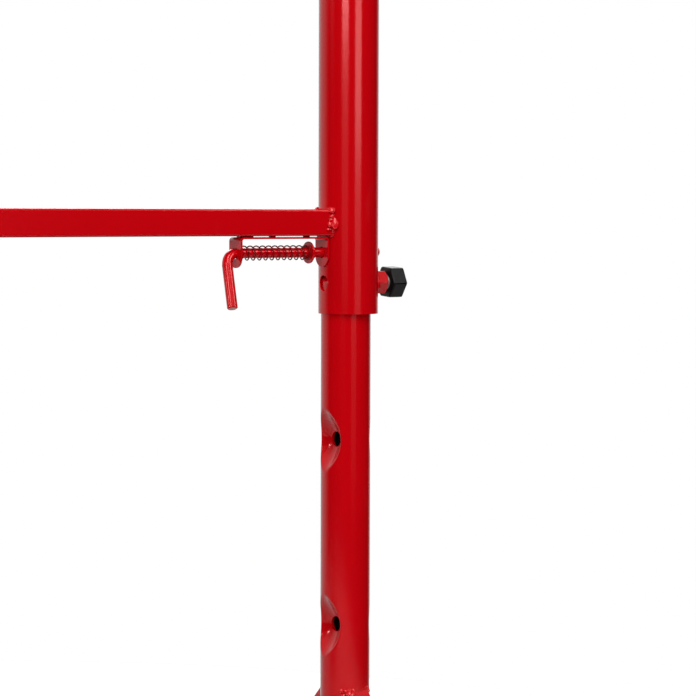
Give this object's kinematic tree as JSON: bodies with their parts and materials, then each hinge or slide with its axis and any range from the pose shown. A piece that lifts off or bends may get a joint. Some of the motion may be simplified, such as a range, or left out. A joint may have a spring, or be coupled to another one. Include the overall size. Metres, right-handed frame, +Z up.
{
  "type": "builders trestle",
  "caption": "Red steel builders trestle: a welded frame on telescopic legs with dimpled cross holes, sprung lock pins, clamp screws and braced cross feet, to carry boards at set heights.",
  "frame": {"origin": "on the floor, midway between the legs", "axes": "+X along the top beam, +Y to the back across the feet, +Z up"},
  "size_m": [1.126, 0.606, 1.1],
  "materials": {
    "red_powder_coat": "gloss red powder coat on steel",
    "black_plastic": "black moulded plastic, satin",
    "zinc_plated_steel": "zinc plated steel",
    "spring_steel": "spring steel wire, thinly painted red"
  },
  "bodies": {
    "frame": {"top_beam": "red_powder_coat", "lower_rail": "red_powder_coat", "beam_end_cap_right": "black_plastic", "outer_tube_right": "red_powder_coat", "strut_right": "red_powder_coat", "pin_bracket_right": "red_powder_coat", "clamp_nut_right": "red_powder_coat", "pin_spring_right": "spring_steel", "beam_end_cap_left": "black_plastic", "outer_tube_left": "red_powder_coat", "strut_left": "red_powder_coat", "pin_bracket_left": "red_powder_coat", "clamp_nut_left": "red_powder_coat", "pin_spring_left": "spring_steel"},
    "pin_washer_right": {"pin_washer_right": "red_powder_coat"},
    "lock_pin_right": {"lock_pin_right": "red_powder_coat", "pin_stop_ring_right": "red_powder_coat"},
    "clamp_screw_right": {"clamp_bolt_right": "zinc_plated_steel", "clamp_cap_right": "black_plastic"},
    "leg_guide_right": {"leg_top_plug_right": "black_plastic"},
    "leg_right": {"leg_tube_right": "red_powder_coat", "foot_bar_right": "red_powder_coat", "brace_front_right": "red_powder_coat", "brace_back_right": "red_powder_coat", "foot_cap_front_right": "black_plastic", "foot_cap_back_right": "black_plastic"},
    "pin_washer_left": {"pin_washer_left": "red_powder_coat"},
    "lock_pin_left": {"lock_pin_left": "red_powder_coat", "pin_stop_ring_left": "red_powder_coat"},
    "clamp_screw_left": {"clamp_bolt_left": "zinc_plated_steel", "clamp_cap_left": "black_plastic"},
    "leg_guide_left": {"leg_top_plug_left": "black_plastic"},
    "leg_left": {"leg_tube_left": "red_powder_coat", "foot_bar_left": "red_powder_coat", "brace_front_left": "red_powder_coat", "brace_back_left": "red_powder_coat", "foot_cap_front_left": "black_plastic", "foot_cap_back_left": "black_plastic"}
  },
  "joints": [
    {"name": "lock_pin_pull_right", "type": "slide", "parent": "frame", "child": "pin_washer_right", "axis": [-1, 0, 0], "range_m": [0, 0.051], "stiffness_N_per_m": 400, "springref_m": -0.02, "deforming": ["pin_spring_right"]},
    {"name": "lock_pin_turn_right", "type": "hinge", "parent": "pin_washer_right", "child": "lock_pin_right", "pos_m": [0.43, 0, 0.549], "axis": [1, 0, 0], "range_deg": [-99, 141]},
    {"name": "clamp_screw_turn_right", "type": "hinge", "parent": "frame", "child": "clamp_screw_right", "pos_m": [0.54, 0, 0.5245], "axis": [1, 0, 0], "continuous": true},
    {"name": "leg_slide_right", "type": "slide", "parent": "frame", "child": "leg_guide_right", "axis": [0, 0, 1], "range_m": [-0.15, 0.3]},
    {"name": "leg_swivel_right", "type": "hinge", "parent": "leg_guide_right", "child": "leg_right", "pos_m": [0.4978, 0, 0.7], "axis": [0, 0, 1], "range_deg": [-90, 90]},
    {"name": "lock_pin_pull_left", "type": "slide", "parent": "frame", "child": "pin_washer_left", "axis": [1, 0, 0], "range_m": [0, 0.051], "stiffness_N_per_m": 400, "springref_m": -0.02, "deforming": ["pin_spring_left"]},
    {"name": "lock_pin_turn_left", "type": "hinge", "parent": "pin_washer_left", "child": "lock_pin_left", "pos_m": [-0.43, 0, 0.549], "axis": [1, 0, 0], "range_deg": [-99, 141]},
    {"name": "clamp_screw_turn_left", "type": "hinge", "parent": "frame", "child": "clamp_screw_left", "pos_m": [-0.54, 0, 0.5245], "axis": [-1, 0, 0], "continuous": true},
    {"name": "leg_slide_left", "type": "slide", "parent": "frame", "child": "leg_guide_left", "axis": [0, 0, 1], "range_m": [-0.15, 0.3]},
    {"name": "leg_swivel_left", "type": "hinge", "parent": "leg_guide_left", "child": "leg_left", "pos_m": [-0.4978, 0, 0.7], "axis": [0, 0, 1], "range_deg": [-90, 90]}
  ]
}
